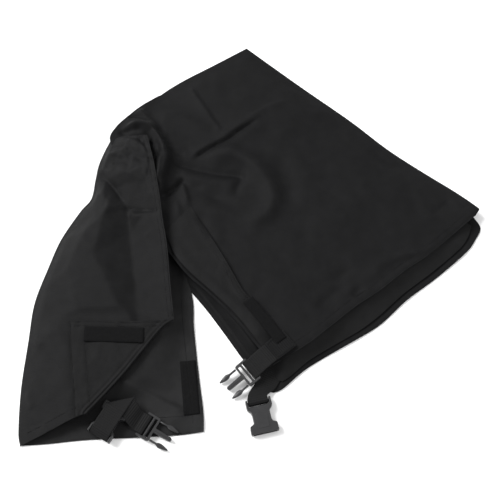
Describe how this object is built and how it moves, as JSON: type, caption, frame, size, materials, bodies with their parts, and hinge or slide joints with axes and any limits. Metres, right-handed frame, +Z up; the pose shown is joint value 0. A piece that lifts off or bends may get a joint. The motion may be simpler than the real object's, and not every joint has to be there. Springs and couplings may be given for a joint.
{
  "type": "film changing bag",
  "caption": "Light-tight fabric bag with a folded body, an arm sleeve, slit closures and buckled cinch straps, laid flat on a table.",
  "frame": {"origin": "middle of the footprint, on the surface the bag lies on", "axes": "+Z up from the table, -Y towards the mouths, +X towards the body of the bag"},
  "size_m": [0.5864, 0.5827, 0.0297],
  "materials": {
    "nylon_shell": "black woven nylon, fine horizontal rib, slight sheen",
    "coated_nylon": "rubbery coated inner face of the nylon, a little lighter",
    "hook_and_loop": "black hook-and-loop tape, dull pile",
    "webbing": "black ribbed polyester webbing",
    "moulded_plastic": "dark grey moulded acetal, satin"
  },
  "bodies": {
    "root": {"body_upper_panel": "nylon_shell", "body_lower_panel": "nylon_shell", "body_slit_lapel": "nylon_shell", "sleeve_upper_panel": "nylon_shell", "inner_bag_upper": "coated_nylon", "inner_bag_lower": "coated_nylon", "sleeve_lower_panel": "coated_nylon", "body_slit_hook_strip": "hook_and_loop", "body_slit_loop_strip": "hook_and_loop", "sleeve_slit_loop_strip": "hook_and_loop", "body_plug_strap": "webbing", "body_socket_strap": "webbing", "body_strap_patch": "webbing", "sleeve_plug_strap": "webbing", "sleeve_cinch_band": "webbing"},
    "sleeve_flap": {"sleeve_corner_flap": "coated_nylon", "sleeve_slit_hook_strip": "hook_and_loop"},
    "body_plug": {"body_plug_frame": "moulded_plastic"},
    "body_plug_prong_left": {"body_plug_prong_left": "moulded_plastic"},
    "body_plug_prong_right": {"body_plug_prong_right": "moulded_plastic"},
    "body_socket": {"body_socket_shell": "moulded_plastic"},
    "sleeve_plug": {"sleeve_plug_frame": "moulded_plastic"},
    "sleeve_plug_prong_left": {"sleeve_plug_prong_left": "moulded_plastic"},
    "sleeve_plug_prong_right": {"sleeve_plug_prong_right": "moulded_plastic"},
    "sleeve_socket_strap": {"sleeve_socket_strap": "webbing"},
    "sleeve_socket": {"sleeve_socket_shell": "moulded_plastic"}
  },
  "joints": [
    {"name": "sleeve_flap_fold", "type": "hinge", "parent": "root", "child": "sleeve_flap", "pos_m": [-0.2078, -0.2507, 0.021], "axis": [-0.6439, -0.7651, 0], "range_deg": [-180, 0]},
    {"name": "body_plug_swing", "type": "hinge", "parent": "root", "child": "body_plug", "pos_m": [-0.0108, -0.1927, 0.011], "axis": [-0.6225, 0.7826, 0], "range_deg": [0, 95]},
    {"name": "body_plug_left_prong_flex", "type": "hinge", "parent": "body_plug", "child": "body_plug_prong_left", "pos_m": [-0.01434, -0.21174, 0.00816], "axis": [0.1493, 0.1188, -0.9816], "range_deg": [0, 8], "stiffness_Nm_per_rad": 0.3},
    {"name": "body_plug_right_prong_flex", "type": "hinge", "parent": "body_plug", "child": "body_plug_prong_right", "pos_m": [-0.03015, -0.19187, 0.00816], "axis": [-0.1493, -0.1188, 0.9816], "range_deg": [0, 8], "stiffness_Nm_per_rad": 0.3},
    {"name": "body_socket_swing", "type": "hinge", "parent": "root", "child": "body_socket", "pos_m": [-0.0018, -0.2317, 0.006], "axis": [-0.9744, -0.225, 0], "range_deg": [0, 95]},
    {"name": "sleeve_plug_swing", "type": "hinge", "parent": "root", "child": "sleeve_plug", "pos_m": [-0.1388, -0.2607, 0.0072], "axis": [-0.5, -0.866, 0], "range_deg": [0, 95]},
    {"name": "sleeve_plug_left_prong_flex", "type": "hinge", "parent": "sleeve_plug", "child": "sleeve_plug_prong_left", "pos_m": [-0.11957, -0.25714, 0.00629], "axis": [-0.0529, 0.0305, -0.9981], "range_deg": [0, 8], "stiffness_Nm_per_rad": 0.3},
    {"name": "sleeve_plug_right_prong_flex", "type": "hinge", "parent": "sleeve_plug", "child": "sleeve_plug_prong_right", "pos_m": [-0.13227, -0.27913, 0.00629], "axis": [0.0529, -0.0305, 0.9981], "range_deg": [0, 8], "stiffness_Nm_per_rad": 0.3},
    {"name": "sleeve_socket_strap_lift", "type": "hinge", "parent": "root", "child": "sleeve_socket_strap", "pos_m": [-0.17477, -0.2427, 0.0167], "axis": [-0.8572, 0.515, 0], "range_deg": [0, 100]},
    {"name": "sleeve_socket_swing", "type": "hinge", "parent": "sleeve_socket_strap", "child": "sleeve_socket", "pos_m": [-0.1928, -0.2727, 0.0084], "axis": [0.8572, -0.515, 0], "range_deg": [0, 4]}
  ]
}
